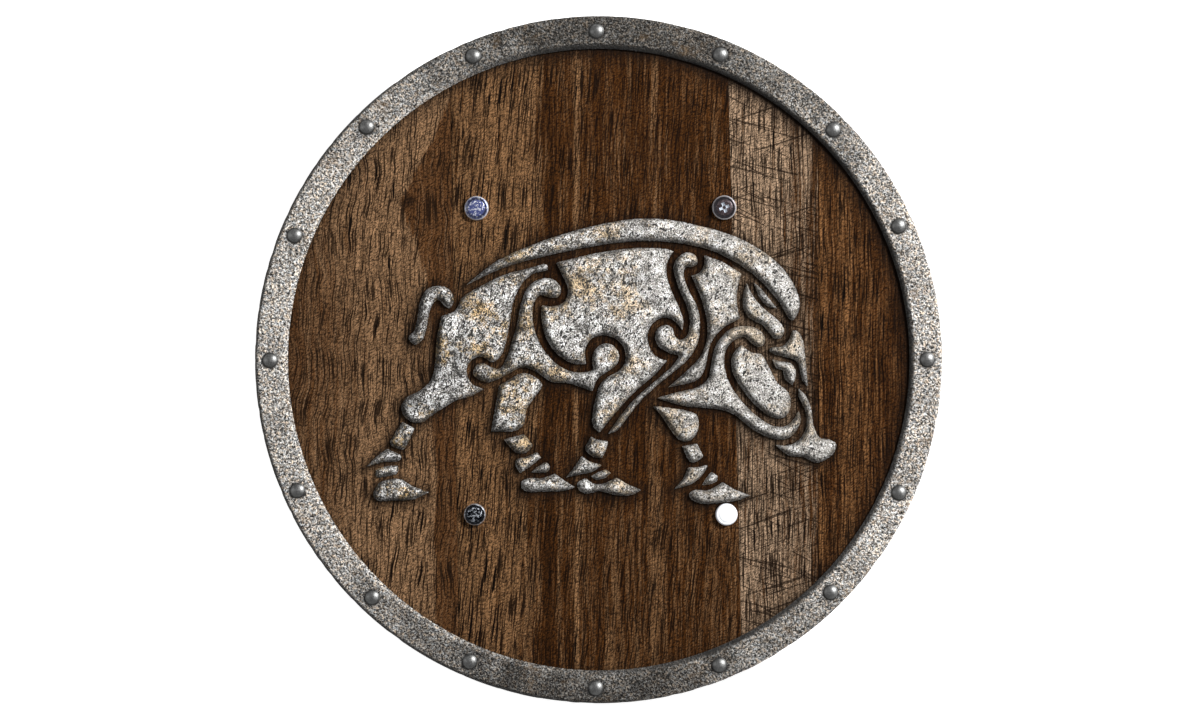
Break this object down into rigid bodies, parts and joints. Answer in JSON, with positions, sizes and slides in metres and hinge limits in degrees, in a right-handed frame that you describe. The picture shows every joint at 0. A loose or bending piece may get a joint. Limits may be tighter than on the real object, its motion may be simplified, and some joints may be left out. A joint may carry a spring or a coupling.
{
  "type": "round shield",
  "caption": "Round planked wooden shield with a riveted iron rim, a boar of raised metal plates on its face, and two leather arm straps behind.",
  "frame": {"origin": "on the shield's axis, level with the undersides of the arm straps on which it lies", "axes": "+Z out of the face, +Y towards the top of the emblem, +X to the right seen from the front"},
  "size_m": [0.61, 0.61, 0.0484],
  "materials": {
    "oak": "oiled, open grain",
    "rim_iron": "pitted and tarnished",
    "rivet_steel": "turned",
    "bolt_steel": "plated and weathered",
    "strap_leather": "saddle leather, worn",
    "plate_metal": "pale, pitted casting"
  },
  "bodies": {
    "root": {"plank_left": "oak", "plank_middle": "oak", "plank_right": "oak", "plank_far_right": "oak", "rim": "rim_iron", "rim_rivet_1": "rivet_steel", "rim_rivet_2": "rivet_steel", "rim_rivet_3": "rivet_steel", "rim_rivet_4": "rivet_steel", "rim_rivet_5": "rivet_steel", "rim_rivet_6": "rivet_steel", "rim_rivet_7": "rivet_steel", "rim_rivet_8": "rivet_steel", "rim_rivet_9": "rivet_steel", "rim_rivet_10": "rivet_steel", "rim_rivet_11": "rivet_steel", "rim_rivet_12": "rivet_steel", "rim_rivet_13": "rivet_steel", "rim_rivet_14": "rivet_steel", "rim_rivet_15": "rivet_steel", "rim_rivet_16": "rivet_steel", "bolt_upper_left": "bolt_steel", "bolt_upper_right": "bolt_steel", "bolt_lower_left": "bolt_steel", "bolt_lower_right": "bolt_steel", "nut_upper_left": "rivet_steel", "nut_upper_right": "rivet_steel", "nut_lower_left": "rivet_steel", "nut_lower_right": "rivet_steel", "strap_left": "strap_leather", "strap_right": "strap_leather", "boar_crest": "plate_metal", "boar_tail": "plate_metal", "boar_haunch": "plate_metal", "boar_hip_scroll": "plate_metal", "boar_barrel": "plate_metal", "boar_shoulder_scroll": "plate_metal", "boar_neck": "plate_metal", "boar_jaw": "plate_metal", "boar_cheek": "plate_metal", "boar_ear": "plate_metal", "boar_inner_ear": "plate_metal", "boar_brow": "plate_metal", "boar_eye": "plate_metal", "boar_snout": "plate_metal", "boar_far_shank": "plate_metal", "boar_far_fetlock": "plate_metal", "boar_far_hoof": "plate_metal", "boar_thigh": "plate_metal", "boar_hock": "plate_metal", "boar_hind_fetlock": "plate_metal", "boar_hind_toe": "plate_metal", "boar_hind_hoof": "plate_metal", "boar_knee": "plate_metal", "boar_fore_fetlock": "plate_metal", "boar_fore_hoof": "plate_metal", "boar_forearm": "plate_metal", "boar_far_knee": "plate_metal", "boar_far_fore_fetlock": "plate_metal", "boar_far_fore_hoof": "plate_metal"}
  },
  "joints": []
}
